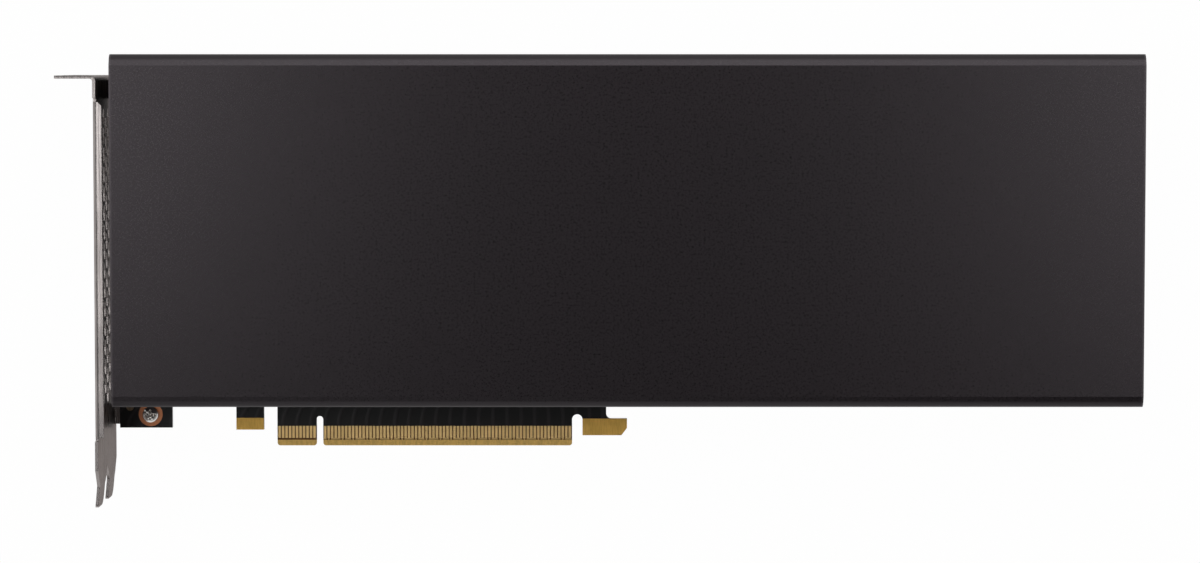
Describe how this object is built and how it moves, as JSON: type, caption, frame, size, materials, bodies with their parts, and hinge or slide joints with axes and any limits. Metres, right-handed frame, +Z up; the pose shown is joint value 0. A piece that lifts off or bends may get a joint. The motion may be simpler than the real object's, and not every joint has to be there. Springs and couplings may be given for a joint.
{
  "type": "passive accelerator card",
  "caption": "Full-height, double-width fanless server accelerator card: black open-ended metal shroud over a finned heat sink, vented slot bracket and gold card edge.",
  "frame": {"origin": "on the surface the card lies on, under the middle of its bounding box", "axes": "+X runs along the card from the slot bracket to the rear end, +Y from the contacts to the card's top edge, +Z up from the backplate to the shroud's front face"},
  "size_m": [0.3006, 0.126, 0.0393],
  "materials": {
    "shroud_black": "satin blasted and anodised black",
    "board_black": "satin solder mask over glass laminate",
    "contact_gold": "polished gold plate",
    "copper": "bare copper",
    "bracket_nickel": "satin nickel plate",
    "screw_nickel": "bright nickel plate",
    "screw_black": "black oxide",
    "sink_aluminium": "mill finish",
    "substrate_green": "satin laminate",
    "lid_nickel": "satin nickel plate",
    "paste_grey": "matte paste",
    "chip_black": "matte moulded epoxy",
    "pad_blue": "soft matte pad",
    "inductor_grey": "pressed iron powder",
    "capacitor_can": "satin can",
    "capacitor_tan": "matte fired ceramic",
    "connector_black": "moulded nylon",
    "backplate_black": "satin black paint",
    "film_clear": "matte polycarbonate film",
    "spring_steel": "plain spring steel"
  },
  "bodies": {
    "root": {"board": "board_black", "front_contacts": "contact_gold", "back_contacts": "contact_gold", "small_tab_plating": "contact_gold", "hook_plating": "contact_gold", "ground_rings": "copper", "shroud": "shroud_black", "bracket": "bracket_nickel", "bracket_screws": "screw_nickel", "heat_sink": "sink_aluminium", "processor_substrate": "substrate_green", "processor_lid": "lid_nickel", "thermal_paste": "paste_grey", "memory_chips": "chip_black", "memory_pads": "pad_blue", "power_stages": "chip_black", "power_stage_pads": "pad_blue", "inductors": "inductor_grey", "ceramic_capacitors": "capacitor_tan", "voltage_controller": "chip_black", "management_chip": "chip_black", "flash_chip": "chip_black", "clock_oscillator": "lid_nickel", "bulk_capacitors": "capacitor_can", "power_connector": "connector_black", "connector_pins": "contact_gold", "rear_bar": "sink_aluminium", "backplate": "backplate_black", "insulating_sheet": "film_clear", "backplate_spacers": "lid_nickel", "retention_spring": "spring_steel", "retention_screws": "screw_black", "backplate_screws": "screw_black", "shroud_screws": "screw_black"}
  },
  "joints": []
}
